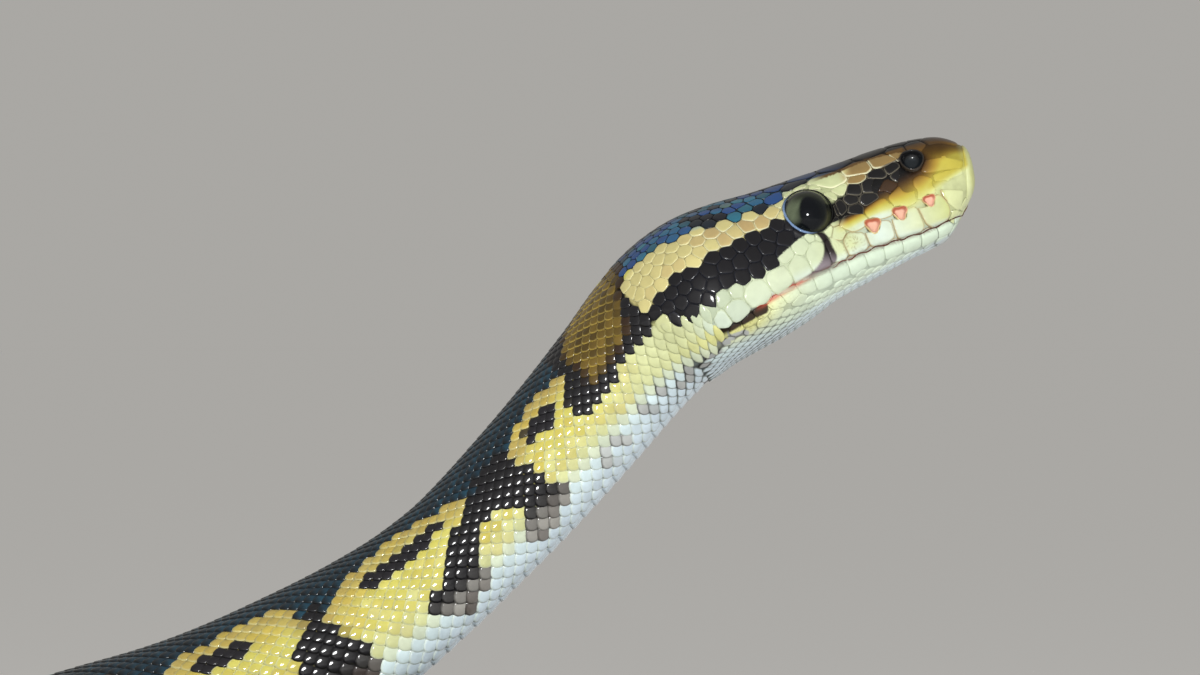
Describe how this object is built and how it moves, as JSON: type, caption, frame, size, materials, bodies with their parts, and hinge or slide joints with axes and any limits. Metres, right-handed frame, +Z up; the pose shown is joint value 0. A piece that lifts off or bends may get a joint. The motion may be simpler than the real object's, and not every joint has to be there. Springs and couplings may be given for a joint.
{
  "type": "coiled ball python",
  "caption": "Still, life-size ball python lying in a round stacked coil on the floor, with its neck and head raised over it; parted at head, lower jaw, eyes, neck, trunk lengths and tail.",
  "frame": {"origin": "on the floor, under the middle of the model's bounding box", "axes": "+Z up, +X the way the head points, the animal's right side towards -Y"},
  "size_m": [0.1702, 0.1674, 0.1165],
  "materials": {
    "patterned_skin": "glossy smooth scales, dark brown and black with tan blotches",
    "lip_skin": "glossy smooth cream scales of the lower jaw and throat",
    "eye_dark": "wet, mirror-smooth dark eye"
  },
  "bodies": {
    "root": {"head": "patterned_skin", "lower_jaw": "lip_skin", "eye_right": "eye_dark", "eye_left": "eye_dark", "neck": "patterned_skin", "trunk_1": "patterned_skin", "trunk_2": "patterned_skin", "trunk_3": "patterned_skin", "trunk_4": "patterned_skin", "trunk_5": "patterned_skin", "trunk_6": "patterned_skin", "trunk_7": "patterned_skin", "trunk_8": "patterned_skin", "trunk_9": "patterned_skin", "tail": "patterned_skin"}
  },
  "joints": []
}
